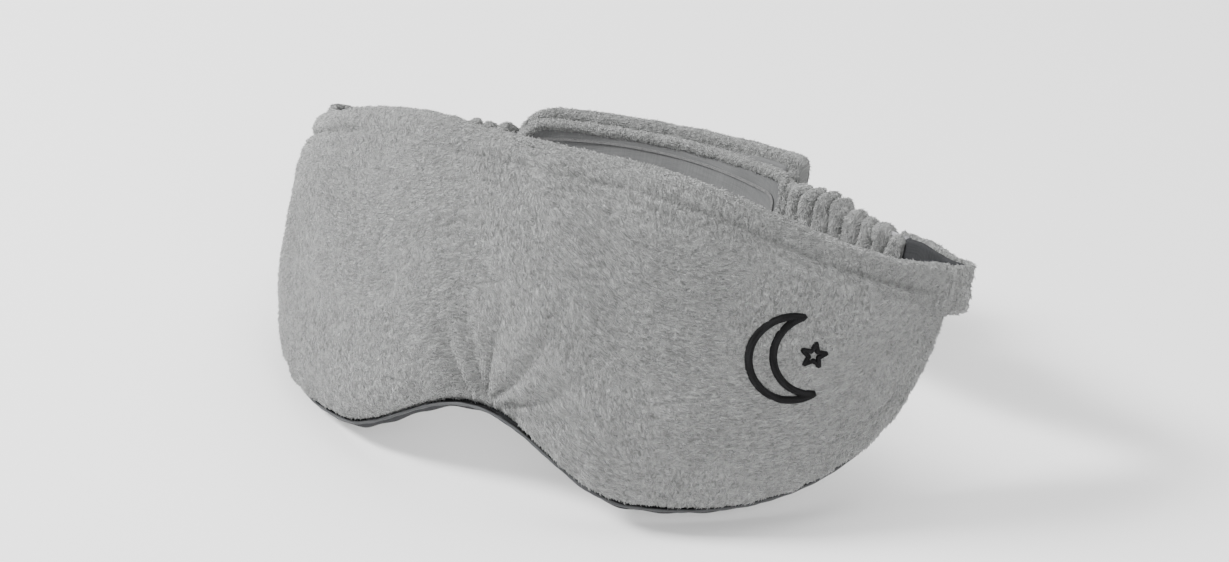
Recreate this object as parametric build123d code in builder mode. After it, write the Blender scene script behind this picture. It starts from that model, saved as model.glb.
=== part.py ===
"""Plush sleep eye mask with a gathered elastic strap and a hook-and-loop closure.

The mask stands as it does on a table: leaning back on its two lobes and on the strap's closure.
Its own frame is upright: x to the right, y backwards (towards the wearer), z up along the panel.
STANCE leans that frame back and sets it on the ground, so every sketch is placed on a STANCE plane.
"""
from build123d import *
import os
from math import cos, pi, radians, sin, sqrt

os.makedirs("parts", exist_ok=True)

# ---- Driving dimensions, mm and degrees ----
LEAN = 20  # the whole mask leans back by this much
GROUND_RISE = 5.93  # lifts the leaning mask so that its lobes touch the ground
CENTRE_SHIFT = -63.08  # puts the origin under the middle of the mask, front to back

BOW_RADIUS = 93.5  # the panel is bowed round the face; this is the radius of its seam
HALF_SPAN = 108  # along the seam, from the nose to the root of each ear tab
TAB_END = 112.5  # along the seam, to where the ear tab folds back
PANEL_HEIGHT = 80
TOP_FALL = 12.7  # the top edge comes down by this much at the ear tabs
TOP_FALL_RANGE = (25, 100)  # along the seam, where the top edge starts and stops coming down
NOTCH_RISE = 14.5
NOTCH_HALF_WIDTH = 40
LOBE_LOW_POINT = 41  # along the seam, where each lobe is lowest
TAB_BOTTOM = 54
CROWN = 9.5  # plush side stands this far in front of the seam
BACK_CROWN = 4.2  # lining side stands this far behind the seam
PLUSH_THICKNESS = 1.9
WADDING_GAP = 0.2
SEAM_GAP = 0.05

FOLD_X, FOLD_Y = 88, 62  # where each ear tab folds back into the strap
STRAP_ANGLE = 33  # the folded tab runs back and inwards at this angle
FOLD_GAP = 5.5  # length of soft fold between panel and tab
TAB_REACH = 17  # from the fold to the tab's sewn end
STRAP_MID = 60.5  # height of the strap's middle
TAB_HEIGHT = 18

SLEEVE_HEIGHT = 24
SLEEVE_THICKNESS = 4.6
SLEEVE_WALL = 1.2
ELASTIC_HEIGHT = 19
ELASTIC_THICKNESS = 1.5

CLOSURE_RADIUS = 94.6  # where the hook tape meets the loop tape
CLOSURE_Y = 3.6  # centre of the closure's bow
FLAP_BOTTOM = 31.17
FLAP_END_FALL = 3.5  # the flap's long edges curve in by this much at its ends
OUTER_FLAP = (-30, 18, 80.8)  # angles of its two ends on the bow, and height of its top
INNER_FLAP = (-31, 19.5, 78.2)
CLEARANCE = 0.15  # on each side of the meeting surface of hook and loop
PATCH_INSET = 9
CORNER = 6

STANCE = Plane(
    origin=(0, CENTRE_SHIFT, GROUND_RISE),
    x_dir=(1, 0, 0),
    z_dir=(0, sin(radians(LEAN)), cos(radians(LEAN))),
)


# ---- Places in the mask's own frame ----
def placed(plane):
    """A plane of the mask's own frame, leaned back with the mask."""
    return Plane(STANCE.location * plane.location)


def bow_plane(arc):
    """Upright plane across the panel at a distance along its seam: x is forwards, y is up."""
    turn = arc / BOW_RADIUS
    return placed(
        Plane(
            origin=(BOW_RADIUS * sin(turn), BOW_RADIUS - BOW_RADIUS * cos(turn), 0),
            x_dir=(sin(turn), -cos(turn), 0),
            z_dir=(-cos(turn), -sin(turn), 0),
        )
    )


def front_plane():
    """Upright plane seen from the front: x to the right, y up, facing forwards."""
    return placed(Plane(origin=(0, 0, 0), x_dir=(1, 0, 0), z_dir=(0, -1, 0)))


def closure_point(angle, radius):
    """A point of the closure's bow, seen from above."""
    return (radius * sin(radians(angle)), CLOSURE_Y + radius * cos(radians(angle)))


# ---- Outline of the panel ----
def top_edge(arc):
    """Level over the nose, then down to the ear tabs in a soft curve."""
    start, end = TOP_FALL_RANGE
    share = min(1, max(0, (abs(arc) - start) / (end - start)))
    return PANEL_HEIGHT - TOP_FALL * share**2 * (3 - 2 * share)


def bottom_edge(arc):
    """Nose notch in the middle, a round lobe each side, then up to the ear tab."""
    reach = abs(arc)
    if reach < NOTCH_HALF_WIDTH:
        return NOTCH_RISE * (1 + cos(pi * reach / NOTCH_HALF_WIDTH)) / 2
    if reach < LOBE_LOW_POINT:
        return 0
    across = min(1, (reach - LOBE_LOW_POINT) / (HALF_SPAN - LOBE_LOW_POINT))
    return TAB_BOTTOM * (1 - sqrt(1 - across**2))


def crown_share(arc):
    """Full crown over the middle, thin at the ear tabs."""
    return 1 - 0.72 * (abs(arc) / TAB_END) ** 5


def panel_section(arc, inset):
    """Padded cross-section of the panel, drawn round its seam."""
    low = bottom_edge(arc) + inset
    high = top_edge(arc) - inset
    front = CROWN * crown_share(arc) - inset
    back = BACK_CROWN * crown_share(arc) - inset
    roll = 0.22 * (high - low)
    middle = (high + low) / 2
    with BuildSketch(bow_plane(arc)) as section:
        with BuildLine():
            Spline(
                (0, low),
                (0.8 * front, low + roll),
                (front, middle),
                (0.8 * front, high - roll),
                (0, high),
                (-0.85 * back, high - roll),
                (-back, middle),
                (-0.85 * back, low + roll),
                periodic=True,
            )
        make_face()
    return section.sketch


def padded_form(inset, arcs):
    """The padded panel as one closed form, smaller all round by the inset."""
    half = [arc for arc in arcs if arc > 0]
    stations = [-arc for arc in reversed(half)] + list(arcs)
    with BuildPart() as form:
        loft(sections=[panel_section(arc, inset) for arc in stations])
    return form.part


PANEL_ARCS = (0, 11, 22, 34, 46, 60, 74, 86, 96, 103, 107, TAB_END)
PAD_ARCS = (0, 11, 22, 34, 46, 60, 74, 86, 96, 102)
panel_form = padded_form(0, PANEL_ARCS)
pad_space = padded_form(PLUSH_THICKNESS, PAD_ARCS)
pad_form = padded_form(PLUSH_THICKNESS + WADDING_GAP, PAD_ARCS)


def bow_ring(inner, outer):
    """Upright ring round the axis of the panel's bow."""
    with BuildPart() as ring:
        with BuildSketch(STANCE.offset(-20)):
            with Locations((0, BOW_RADIUS)):
                Circle(outer)
                Circle(inner, mode=Mode.SUBTRACT)
        extrude(amount=PANEL_HEIGHT + 40)
    return ring.part


def finish(part, name):
    part.label = name
    export_step(part, f"parts/{name}.step")


# ---- Mask panel ----
with BuildPart() as front_panel:
    add(panel_form)
    add(pad_space, mode=Mode.SUBTRACT)
    add(bow_ring(BOW_RADIUS + SEAM_GAP, BOW_RADIUS + 30), mode=Mode.INTERSECT)
finish(front_panel.part, "front_panel")

with BuildPart() as lining_panel:
    add(panel_form)
    add(pad_space, mode=Mode.SUBTRACT)
    add(bow_ring(BOW_RADIUS - 30, BOW_RADIUS - SEAM_GAP), mode=Mode.INTERSECT)
finish(lining_panel.part, "lining_panel")

LAYER_RADIUS = BOW_RADIUS - 1.2
LAYER_THICKNESS = 0.6
with BuildPart() as wadding_pad:
    add(pad_form)
    add(bow_ring(LAYER_RADIUS, BOW_RADIUS + 30), mode=Mode.INTERSECT)
finish(wadding_pad.part, "wadding_pad")

with BuildPart() as blackout_layer:
    add(pad_form)
    add(bow_ring(LAYER_RADIUS - 0.1 - LAYER_THICKNESS, LAYER_RADIUS - 0.1), mode=Mode.INTERSECT)
finish(blackout_layer.part, "blackout_layer")

# ---- Embroidery on the right lobe ----
MOTIF_ARC = 68
MOTIF_HEIGHT = 43
MOON_RADIUS = 10.5
MOON_CUT_RADIUS = 8.6
MOON_CUT_OFFSET = 4.6
STAR_RADIUS = 3.4
STAR_PLACE = (4.2, 1.2)
EMBROIDERY_RISE = 0.7
motif_turn = MOTIF_ARC / BOW_RADIUS
motif_plane = placed(
    Plane(
        origin=(BOW_RADIUS * sin(motif_turn), BOW_RADIUS * (1 - cos(motif_turn)), MOTIF_HEIGHT),
        x_dir=(cos(motif_turn), sin(motif_turn), 0),
        z_dir=(sin(motif_turn), -cos(motif_turn), 0),
    )
)
raised_form = padded_form(-EMBROIDERY_RISE, PANEL_ARCS)

with BuildPart() as moon_embroidery:
    with BuildSketch(motif_plane):
        Circle(MOON_RADIUS)
        with Locations((MOON_CUT_OFFSET, 1.5)):
            Circle(MOON_CUT_RADIUS, mode=Mode.SUBTRACT)
    extrude(amount=CROWN + 10)
    add(raised_form, mode=Mode.INTERSECT)
    add(panel_form, mode=Mode.SUBTRACT)
finish(moon_embroidery.part, "moon_embroidery")

with BuildPart() as star_embroidery:
    with BuildSketch(motif_plane):
        with Locations(STAR_PLACE):
            with BuildLine():
                Polyline(
                    [
                        (
                            STAR_RADIUS * (1 if corner % 2 == 0 else 0.42) * sin(corner * pi / 5),
                            STAR_RADIUS * (1 if corner % 2 == 0 else 0.42) * cos(corner * pi / 5),
                        )
                        for corner in range(10)
                    ],
                    close=True,
                )
            make_face()
    extrude(amount=CROWN + 10)
    add(raised_form, mode=Mode.INTERSECT)
    add(panel_form, mode=Mode.SUBTRACT)
finish(star_embroidery.part, "star_embroidery")


# ---- Strap: ear tabs and gathered sleeves ----
def tab_point(side, reach):
    """A point of the folded ear tab, seen from above; side is -1 for left and 1 for right."""
    run = radians(STRAP_ANGLE)
    return (side * (FOLD_X - reach * cos(run)), FOLD_Y + reach * sin(run))


def strip_plane(start, end):
    """Upright plane across a strip of strap: x is up, z runs from start to end."""
    return placed(
        Plane(
            origin=(start[0], start[1], STRAP_MID),
            x_dir=(0, 0, 1),
            z_dir=(end[0] - start[0], end[1] - start[1], 0),
        )
    )


def distance(start, end):
    return ((end[0] - start[0]) ** 2 + (end[1] - start[1]) ** 2) ** 0.5


TAB_COVER_THICKNESS = 1.6
TAB_LINING_THICKNESS = 1.0
TAB_LAYER_GAP = 0.2
SEAM_ALLOWANCE = 9  # elastic held between the tab's two layers
SLEEVE_END_GAP = 0.8
BAR_TACK = (11, 0.5, 1.4)
cover_offset = ELASTIC_THICKNESS / 2 + TAB_LAYER_GAP + TAB_COVER_THICKNESS / 2
lining_offset = ELASTIC_THICKNESS / 2 + TAB_LAYER_GAP + TAB_LINING_THICKNESS / 2
tack_offset = cover_offset + TAB_COVER_THICKNESS / 2 + BAR_TACK[1] / 2

# Each sleeve ends at its flap: the left one at the outer flap, the right one at the inner flap.
SLEEVE_ENDS = {
    -1: closure_point(OUTER_FLAP[0] - 0.2, CLOSURE_RADIUS + 3.4),
    1: closure_point(INNER_FLAP[1] + 1.8, CLOSURE_RADIUS - 2.6),
}

for side, name in ((-1, "left"), (1, "right")):
    fold_start = tab_point(side, FOLD_GAP)
    tab_end = tab_point(side, TAB_REACH)
    sleeve_end = SLEEVE_ENDS[side]
    tab_length = TAB_REACH - FOLD_GAP
    sleeve_length = distance(tab_end, sleeve_end) - SLEEVE_END_GAP
    tab_plane = strip_plane(fold_start, tab_end)
    sleeve_plane = strip_plane(tab_end, sleeve_end)

    with BuildPart() as ear_cover:
        with BuildSketch(tab_plane):
            with Locations((0, side * cover_offset)):
                Rectangle(TAB_HEIGHT, TAB_COVER_THICKNESS)
        extrude(amount=tab_length)
        fillet(ear_cover.edges().group_by(SortBy.LENGTH)[0], 0.7)
    finish(ear_cover.part, f"{name}_ear_cover")

    with BuildPart() as ear_lining:
        with BuildSketch(tab_plane):
            with Locations((0, -side * lining_offset)):
                Rectangle(TAB_HEIGHT, TAB_LINING_THICKNESS)
        extrude(amount=tab_length)
    finish(ear_lining.part, f"{name}_ear_lining")

    with BuildPart() as bar_tack:
        with BuildSketch(tab_plane.offset(tab_length - SEAM_ALLOWANCE / 2)):
            with Locations((0, side * tack_offset)):
                Rectangle(BAR_TACK[0], BAR_TACK[1])
        extrude(amount=BAR_TACK[2])
    finish(bar_tack.part, f"{name}_bar_tack")

    with BuildPart() as sleeve:
        with BuildSketch(sleeve_plane.offset(SLEEVE_END_GAP)):
            RectangleRounded(SLEEVE_HEIGHT, SLEEVE_THICKNESS, SLEEVE_THICKNESS / 2 - 0.1)
            Rectangle(
                SLEEVE_HEIGHT - 2 * SLEEVE_WALL,
                SLEEVE_THICKNESS - 2 * SLEEVE_WALL,
                mode=Mode.SUBTRACT,
            )
        extrude(amount=sleeve_length - SLEEVE_END_GAP)
    finish(sleeve.part, f"{name}_sleeve")

    with BuildPart() as elastic:
        with BuildSketch(tab_plane.offset(tab_length - SEAM_ALLOWANCE)):
            Rectangle(ELASTIC_HEIGHT - 4, ELASTIC_THICKNESS)
        extrude(amount=SEAM_ALLOWANCE + 0.4)
        with BuildSketch(sleeve_plane):
            Rectangle(ELASTIC_HEIGHT, ELASTIC_THICKNESS)
        extrude(amount=sleeve_length)
    finish(elastic.part, f"{name}_elastic")


# ---- Closure flaps ----
def flap_layer(flap, inset, inner, outer):
    """One layer of a flap, wrapped on the closure's bow and cut to the flap's round-ended outline."""
    left_end, right_end, flap_top = flap
    left = CLOSURE_RADIUS * sin(radians(left_end)) + inset
    right = CLOSURE_RADIUS * sin(radians(right_end)) - inset
    top = flap_top - inset
    bottom = FLAP_BOTTOM + inset
    middle = (left_end + right_end) / 2
    with BuildPart() as layer:
        with BuildSketch(STANCE.offset(FLAP_BOTTOM - 5)):
            with BuildLine():
                outside = ThreePointArc(
                    closure_point(left_end - 5, outer),
                    closure_point(middle, outer),
                    closure_point(right_end + 5, outer),
                )
                inside = ThreePointArc(
                    closure_point(left_end - 5, inner),
                    closure_point(middle, inner),
                    closure_point(right_end + 5, inner),
                )
                Line(outside @ 0, inside @ 0)
                Line(outside @ 1, inside @ 1)
            make_face()
        extrude(amount=flap_top - FLAP_BOTTOM + 10)
        with BuildSketch(front_plane()) as outline:
            with BuildLine():
                upper = ThreePointArc(
                    (left, top - FLAP_END_FALL),
                    ((left + right) / 2, top),
                    (right, top - FLAP_END_FALL),
                )
                lower = ThreePointArc(
                    (left, bottom + FLAP_END_FALL),
                    ((left + right) / 2, bottom),
                    (right, bottom + FLAP_END_FALL),
                )
                Line(upper @ 0, lower @ 0)
                Line(upper @ 1, lower @ 1)
            make_face()
            fillet(outline.vertices(), max(CORNER - inset / 2, 1))
        extrude(amount=-150, mode=Mode.INTERSECT)
    return layer.part


with BuildPart() as outer_flap_cover:
    add(flap_layer(OUTER_FLAP, 0, CLOSURE_RADIUS + 2.6, CLOSURE_RADIUS + 5.0))
finish(outer_flap_cover.part, "outer_flap_cover")

with BuildPart() as outer_flap_facing:
    add(flap_layer(OUTER_FLAP, 0.8, CLOSURE_RADIUS + 1.3, CLOSURE_RADIUS + 2.5))
finish(outer_flap_facing.part, "outer_flap_facing")

with BuildPart() as hook_patch:
    add(flap_layer(OUTER_FLAP, PATCH_INSET, CLOSURE_RADIUS + CLEARANCE, CLOSURE_RADIUS + 1.2))
finish(hook_patch.part, "hook_patch")

TOPSTITCH_INSET = 4.5
TOPSTITCH_WIDTH = 0.6
with BuildPart() as outer_flap_stitching:
    add(flap_layer(OUTER_FLAP, TOPSTITCH_INSET, CLOSURE_RADIUS + 5.0, CLOSURE_RADIUS + 5.3))
    add(
        flap_layer(
            OUTER_FLAP,
            TOPSTITCH_INSET + TOPSTITCH_WIDTH,
            CLOSURE_RADIUS + 4.9,
            CLOSURE_RADIUS + 5.4,
        ),
        mode=Mode.SUBTRACT,
    )
finish(outer_flap_stitching.part, "outer_flap_stitching")

BORDER_WIDTH = 4.5
with BuildPart() as inner_flap_cover:
    add(flap_layer(INNER_FLAP, 0, CLOSURE_RADIUS - 5.0, CLOSURE_RADIUS - CLEARANCE))
    add(
        flap_layer(INNER_FLAP, BORDER_WIDTH, CLOSURE_RADIUS - 6, CLOSURE_RADIUS - 2.9),
        mode=Mode.SUBTRACT,
    )
    add(
        flap_layer(INNER_FLAP, BORDER_WIDTH, CLOSURE_RADIUS - 1.4, CLOSURE_RADIUS + 1),
        mode=Mode.SUBTRACT,
    )
finish(inner_flap_cover.part, "inner_flap_cover")

with BuildPart() as inner_flap_lining:
    add(
        flap_layer(INNER_FLAP, BORDER_WIDTH + 0.2, CLOSURE_RADIUS - 4.2, CLOSURE_RADIUS - 3.0)
    )
finish(inner_flap_lining.part, "inner_flap_lining")

with BuildPart() as loop_patch:
    add(
        flap_layer(INNER_FLAP, PATCH_INSET, CLOSURE_RADIUS - 1.3, CLOSURE_RADIUS - CLEARANCE)
    )
finish(loop_patch.part, "loop_patch")

with BuildPart() as inner_flap_stitching:
    add(flap_layer(INNER_FLAP, BORDER_WIDTH + 1, CLOSURE_RADIUS - 4.5, CLOSURE_RADIUS - 4.2))
    add(
        flap_layer(
            INNER_FLAP,
            BORDER_WIDTH + 1 + TOPSTITCH_WIDTH,
            CLOSURE_RADIUS - 4.6,
            CLOSURE_RADIUS - 4.1,
        ),
        mode=Mode.SUBTRACT,
    )
finish(inner_flap_stitching.part, "inner_flap_stitching")
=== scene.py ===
"""Looks of the plush sleep eye mask: pile, satin, gathers, rolled seams and embroidery.

Shapes are worked out in the mask's own upright frame (millimetres: x right, y back, z up) and
leaned back like the CAD model by place(). Every piece is a closed form swept along a path, but for
the pile's tufts, which stand on those forms.
"""
import random
import bmesh
import bpy
from math import atan2, ceil, cos, degrees, exp, hypot, pi, radians, sin, sqrt
from mathutils import Matrix, Vector, noise


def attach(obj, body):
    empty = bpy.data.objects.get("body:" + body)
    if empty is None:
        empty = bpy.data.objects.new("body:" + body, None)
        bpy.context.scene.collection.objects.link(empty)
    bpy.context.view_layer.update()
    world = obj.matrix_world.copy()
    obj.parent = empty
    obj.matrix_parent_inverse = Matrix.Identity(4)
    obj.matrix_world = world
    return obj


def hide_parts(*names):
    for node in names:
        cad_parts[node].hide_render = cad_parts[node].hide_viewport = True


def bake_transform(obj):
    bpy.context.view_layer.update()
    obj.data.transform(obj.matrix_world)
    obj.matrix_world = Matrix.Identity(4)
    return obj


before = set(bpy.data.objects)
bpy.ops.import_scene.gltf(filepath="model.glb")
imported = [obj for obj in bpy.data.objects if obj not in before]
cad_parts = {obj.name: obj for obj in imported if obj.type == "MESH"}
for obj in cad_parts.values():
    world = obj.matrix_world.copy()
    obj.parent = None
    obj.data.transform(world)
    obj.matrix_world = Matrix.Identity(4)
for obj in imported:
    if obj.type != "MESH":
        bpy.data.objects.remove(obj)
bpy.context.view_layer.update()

# ---- Driving dimensions, as in the CAD model, mm and degrees ----
LEAN = radians(20)
GROUND_RISE = 5.93
CENTRE_SHIFT = -63.08
BOW_RADIUS = 93.5
HALF_SPAN = 108
TAB_BOTTOM = 54
PANEL_HEIGHT = 80
TOP_FALL = 12.7
TOP_FALL_RANGE = (25, 100)
NOTCH_RISE = 14.5
NOTCH_HALF_WIDTH = 40
CROWN = 9.5
BACK_CROWN = 4.2
FOLD = (88, 62)
STRAP_ANGLE = 33
TAB_REACH = 17
STRAP_MID = 60.5
CLOSURE_RADIUS = 94.6
CLOSURE_Y = 3.6
FLAP_BOTTOM = 31.17
OUTER_FLAP = (-30, 18, 80.8)  # angles of its two ends on the bow, and height of its top
INNER_FLAP = (-31, 19.5, 78.2)
MM = 0.001

# ---- Dimensions that only the looks have, mm ----
PILE = 0.5  # how uneven the plush pile is
TUFT_LENGTH, TUFT_WIDTH = 0.9, 0.23
TUFT_ROOT, TUFT_THICK = 0.1, 0.25  # how deep a tuft stands in the plush, and how thick its root is
FLOOR_GAP = 0.1  # tufts stay this far above the table
TAB_END = 112  # along the seam, where the panel's crown is thinnest
PANEL_END = 109.5  # along the seam, where the plush side ends inside the ear tab
SEAM_ROLL = 1.9  # the charcoal roll shows this much below the plush
LEFT_LOW_POINT, RIGHT_LOW_POINT = 45, 36  # along the seam, where each lobe starts to climb
CROWN_TALL, CROWN_DEEP = 0.74, 0.56  # powers that square off the plush side's round cross-section


def place(x, y, z):
    """A point of the mask's own frame, in metres, leaned back as the mask stands."""
    return Vector((
        x * MM,
        (CENTRE_SHIFT + y * cos(LEAN) + z * sin(LEAN)) * MM,
        (GROUND_RISE + z * cos(LEAN) - y * sin(LEAN)) * MM,
    ))


def smooth(low, high, value):
    """0 below low, 1 above high, and a soft step between them."""
    share = max(0, min(1, (value - low) / (high - low)))
    return share**2 * (3 - 2 * share)


def hump(centre, width, value):
    """1 at the centre, falling off softly over the width on both sides."""
    return exp(-(((value - centre) / width) ** 2))


# ---- Materials ----
class Shader:
    """A node material, with short names for the nodes that cloth needs."""

    def __init__(self, name, rough=0.9, sheen=0.0, sheen_rough=0.4, specular=0.25):
        self.material = bpy.data.materials.new(name)
        self.material.use_nodes = True
        self.tree = self.material.node_tree
        self.surface = self.tree.nodes["Principled BSDF"]
        self.surface.inputs["Roughness"].default_value = rough
        self.surface.inputs["Sheen Weight"].default_value = sheen
        self.surface.inputs["Sheen Roughness"].default_value = sheen_rough
        self.surface.inputs["Specular IOR Level"].default_value = specular
        self.weave = self.tree.nodes.new("ShaderNodeUVMap")
        self.weave.uv_map = "cloth"

    def feed(self, socket, value):
        """Link a node's output to a socket, or set the socket to a value."""
        if hasattr(value, "is_output"):
            self.tree.links.new(value, socket)
        elif socket.type == "RGBA":
            socket.default_value = (*value, 1)
        else:
            socket.default_value = value

    def node(self, kind, **sockets):
        made = self.tree.nodes.new(kind)
        for socket, value in sockets.items():
            self.feed(made.inputs[socket], value)
        return made

    def mapped(self, turn=0.0, stretch=(1, 1, 1)):
        """The cloth's own coordinates, turned, then stretched."""
        turned = self.node("ShaderNodeMapping", Vector=self.weave.outputs["UV"])
        turned.inputs["Rotation"].default_value = (0, 0, turn)
        scaled = self.node("ShaderNodeMapping", Vector=turned.outputs["Vector"])
        scaled.inputs["Scale"].default_value = stretch
        return scaled.outputs["Vector"]

    def noise(self, vector, scale, detail=2.0, rough=0.5, warp=0.0):
        made = self.node("ShaderNodeTexNoise", Vector=vector, Scale=scale, Detail=detail)
        made.inputs["Roughness"].default_value = rough
        made.inputs["Distortion"].default_value = warp
        return made.outputs["Fac"]

    def ramp(self, value, low, high, top=1.0):
        """0 below low, the top value above high, and a straight ramp between them."""
        made = self.node("ShaderNodeMapRange", Value=value)
        made.inputs["From Min"].default_value = low
        made.inputs["From Max"].default_value = high
        made.inputs["To Max"].default_value = top
        return made.outputs["Result"]

    def maths(self, operation, first, second):
        made = self.tree.nodes.new("ShaderNodeMath")
        made.operation = operation
        self.feed(made.inputs[0], first)
        self.feed(made.inputs[1], second)
        return made.outputs[0]

    def colour(self, share, dark, light):
        """Base colour between dark, where the share is 0, and light, where it is 1."""
        mix = self.tree.nodes.new("ShaderNodeMix")
        mix.data_type = "RGBA"
        factor, first, second = (mix.inputs[number] for number in (0, 6, 7))
        self.feed(factor, share)
        self.feed(first, dark)
        self.feed(second, light)
        self.feed(self.surface.inputs["Base Color"], mix.outputs[2])

    def bump(self, height, distance, strength):
        made = self.node("ShaderNodeBump", Height=height, Distance=distance, Strength=strength)
        self.feed(self.surface.inputs["Normal"], made.outputs["Normal"])


# Plush grey with painted light on the pile's high spots, and with painted shade in its low spots
PLUSH_LIT_TOPS, PLUSH_SHADED_HOLLOWS = (0.375, 0.38, 0.375), (0.15, 0.153, 0.15)


def plush_material(name, lay):
    """Short combed pile: tufts drawn out along the lay and clumps; painted shade darkens the pile's low
    spots and painted light brightens its high spots, over a soft cloudy tone.
    """
    cloth = Shader(name, rough=0.95, sheen=0.22, sheen_rough=0.5)
    swirl = cloth.noise(cloth.mapped(), 30, detail=1)
    along = cloth.mapped(lay, (1, 2.3, 1))
    across = cloth.mapped(lay + radians(66), (1, 2.1, 1))
    tufts = cloth.noise(along, 760, detail=2, rough=0.55, warp=1.1)
    crossed = cloth.noise(across, 720, detail=2, rough=0.55, warp=1.1)
    share = cloth.ramp(swirl, 0.46, 0.56)
    kept = cloth.maths("MULTIPLY", tufts, cloth.maths("SUBTRACT", 1.0, share))
    pile = cloth.maths("ADD", kept, cloth.maths("MULTIPLY", crossed, share))
    clumps = cloth.noise(cloth.mapped(lay, (1, 1.5, 1)), 330, detail=2, rough=0.5)
    height = cloth.maths("ADD", pile, cloth.maths("MULTIPLY", clumps, 0.3))
    cloudy = cloth.noise(cloth.mapped(), 45, detail=2)
    # Painted light and shade: the colour follows the pile's height, darker in its hollows, plus a little
    # cloudy tone
    tone = cloth.maths("ADD", cloth.ramp(height, 0.48, 0.78, 0.85), cloth.ramp(cloudy, 0.3, 0.7, 0.15))
    cloth.colour(tone, PLUSH_SHADED_HOLLOWS, PLUSH_LIT_TOPS)
    cloth.bump(height, 0.004, 1.0)
    return cloth.material


def satin_material(name, light, dark, rough=0.6, sheen=0.15):
    """Smooth warp-faced cloth: fine threads both ways and slight shade bands."""
    cloth = Shader(name, rough=rough, sheen=sheen, specular=0.15)
    warp = cloth.noise(cloth.mapped(0, (1, 0.05, 1)), 3200, detail=1)
    weft = cloth.noise(cloth.mapped(0, (0.05, 1, 1)), 2600, detail=1)
    threads = cloth.maths("ADD", warp, weft)
    cloudy = cloth.noise(cloth.mapped(), 60, detail=3)
    tone = cloth.maths("ADD", cloth.ramp(threads, 0.7, 1.3, 0.5), cloth.ramp(cloudy, 0.3, 0.7, 0.5))
    cloth.colour(tone, dark, light)
    cloth.bump(threads, 0.00015, 0.5)
    return cloth.material


def thread_material(name, light, dark, pitch=2600):
    """Satin stitch or ribbed elastic: tight parallel threads with a soft gloss."""
    cloth = Shader(name, rough=0.6, specular=0.12)
    strands = cloth.noise(cloth.mapped(0, (0.08, 1, 1)), pitch, detail=2)
    cloth.colour(cloth.ramp(strands, 0.35, 0.65), dark, light)
    cloth.bump(strands, 0.0003, 0.8)
    return cloth.material


def object_cloth(name, light, dark, scale, rough=0.9, distance=0.0003):
    """Cloth for a carried-over CAD node, which has no cloth coordinates of its own."""
    cloth = Shader(name, rough=rough, sheen=0.2)
    spots = cloth.tree.nodes.new("ShaderNodeTexCoord")
    fibres = cloth.noise(spots.outputs["Object"], scale, detail=4, rough=0.6)
    cloth.colour(cloth.ramp(fibres, 0.3, 0.7), dark, light)
    cloth.bump(fibres, distance, 0.8)
    return cloth.material


PLUSH = plush_material("plush pile", 0.12)
PLUSH_UPRIGHT = plush_material("plush pile, strap", radians(80))
CHARCOAL = satin_material("charcoal satin", (0.034, 0.035, 0.037), (0.016, 0.0165, 0.0175),
                          rough=0.8, sheen=0.0)
# Satin of the flaps' inner facings: partly the satin's own mid-grey, partly painted shade for the strap's
# shaded inner face
SHADED_SATIN_GREY = satin_material("mid-grey satin", (0.15, 0.152, 0.152), (0.10, 0.102, 0.103),
                             rough=0.9, sheen=0.03)
WADDING = satin_material("polyester wadding", (0.80, 0.80, 0.78), (0.55, 0.55, 0.54), rough=0.95)
# Lighter grey for the band along the bottom seam: painted highlight where the charcoal roll catches the
# light
ROLL_HIGHLIGHT_GREY = satin_material("dark grey satin roll", (0.075, 0.077, 0.079), (0.045, 0.046, 0.048),
                              sheen=0.03)
BLACK_THREAD = thread_material("black satin stitch", (0.010, 0.010, 0.011), (0.002, 0.002, 0.002))
ELASTIC = thread_material("ribbed elastic", (0.33, 0.33, 0.34), (0.14, 0.14, 0.15), pitch=1400)


# ---- Swept forms ----
def add_piece(name, mesh, body):
    piece = bpy.data.objects.new(name, mesh)
    bpy.context.collection.objects.link(piece)
    if body:
        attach(piece, body)
    return piece


def cloth_mesh(name, rings, across, along, material, body=None, caps=True):
    """Closed form through rings of points; across and along give the cloth's coordinates in mm.

    With caps=False the last ring repeats the first one, and the form closes on itself.
    """
    rows, count = len(rings), len(rings[0])
    points = [point for ring in rings for point in ring]
    faces = []
    for row in range(rows - 1):
        for step in range(count):
            after = (step + 1) % count
            faces.append((row * count + step, row * count + after,
                          (row + 1) * count + after, (row + 1) * count + step))
    if caps:
        for row, order in ((0, -1), (rows - 1, 1)):
            points.append(sum(rings[row], Vector()) / count)
            centre = len(points) - 1
            for step in range(count):
                pair = (row * count + step, row * count + (step + 1) % count)
                faces.append((centre, *pair[::order]))
    mesh = bpy.data.meshes.new(name)
    mesh.from_pydata([tuple(point) for point in points], [], faces)
    mesh.polygons.foreach_set("use_smooth", [True] * len(faces))
    layer = mesh.uv_layers.new(name="cloth")
    for face in mesh.polygons:
        steps = {vertex % count for vertex in face.vertices}
        wraps = 0 in steps and count - 1 in steps  # the face closes the ring
        for corner in face.loop_indices:
            vertex = mesh.loops[corner].vertex_index
            if vertex >= rows * count:
                row, step = (0 if vertex == rows * count else rows - 1), 0
            else:
                row, step = divmod(vertex, count)
                if wraps and step == 0:
                    step = count
            layer.data[corner].uv = (along[row] * MM, across[row][step] * MM)
    mesh.materials.append(material)
    outward = bmesh.new()
    outward.from_mesh(mesh)
    bmesh.ops.recalc_face_normals(outward, faces=outward.faces)
    outward.to_mesh(mesh)
    outward.free()
    mesh.update()
    return add_piece(name, mesh, body)


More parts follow.
